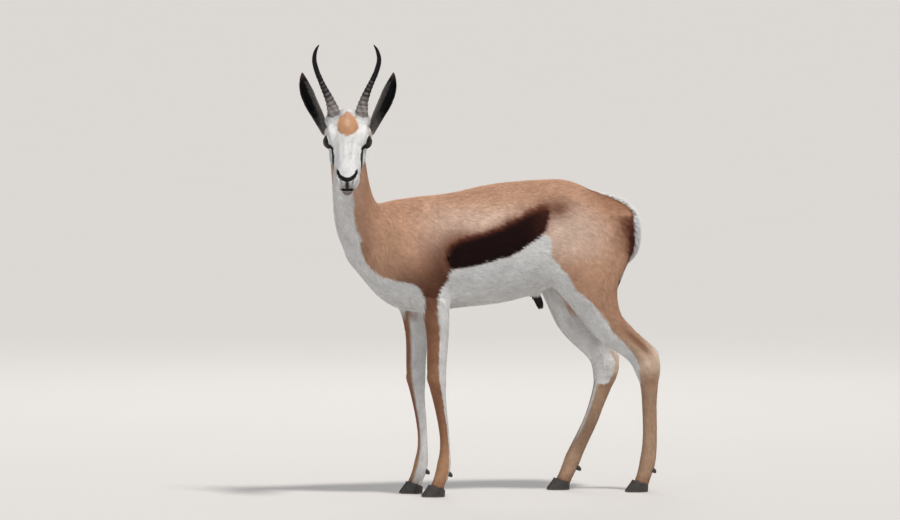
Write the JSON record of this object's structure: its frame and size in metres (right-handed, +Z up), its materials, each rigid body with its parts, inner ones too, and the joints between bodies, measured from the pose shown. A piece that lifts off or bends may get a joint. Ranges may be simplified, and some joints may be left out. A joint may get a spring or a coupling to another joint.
{
  "type": "springbok, young ram, standing",
  "caption": "Life-size standing springbok ram, head turned to its left; a museum-type animal model that stands on its hooves.",
  "frame": {"origin": "middle of the bounding box at the ground, under the belly", "axes": "+Z up; -X the way the body points, so the rump is at +X; -Y the animal's left, to which the head is turned"},
  "size_m": [0.9487, 0.3419, 1.137],
  "materials": {
    "coat_tan": "short flat hair, cinnamon tan; white belly and dark flank band",
    "coat_white": "short flat white hair",
    "horn": "ringed at the base, smooth and satin black above",
    "hoof": "satin black horn",
    "eye": "wet, nearly black"
  },
  "bodies": {
    "root": {"trunk": "coat_tan", "neck": "coat_tan", "head": "coat_white", "tail": "coat_white", "ear_left": "coat_tan", "ear_right": "coat_tan", "eye_left": "eye", "eye_right": "eye", "horn_left": "horn", "horn_right": "horn", "leg_front_left": "coat_tan", "leg_front_right": "coat_tan", "leg_hind_left": "coat_tan", "leg_hind_right": "coat_tan", "hoof_front_left_outer": "hoof", "hoof_front_left_inner": "hoof", "hoof_front_right_outer": "hoof", "hoof_front_right_inner": "hoof", "hoof_hind_left_outer": "hoof", "hoof_hind_left_inner": "hoof", "hoof_hind_right_outer": "hoof", "hoof_hind_right_inner": "hoof"}
  },
  "joints": []
}
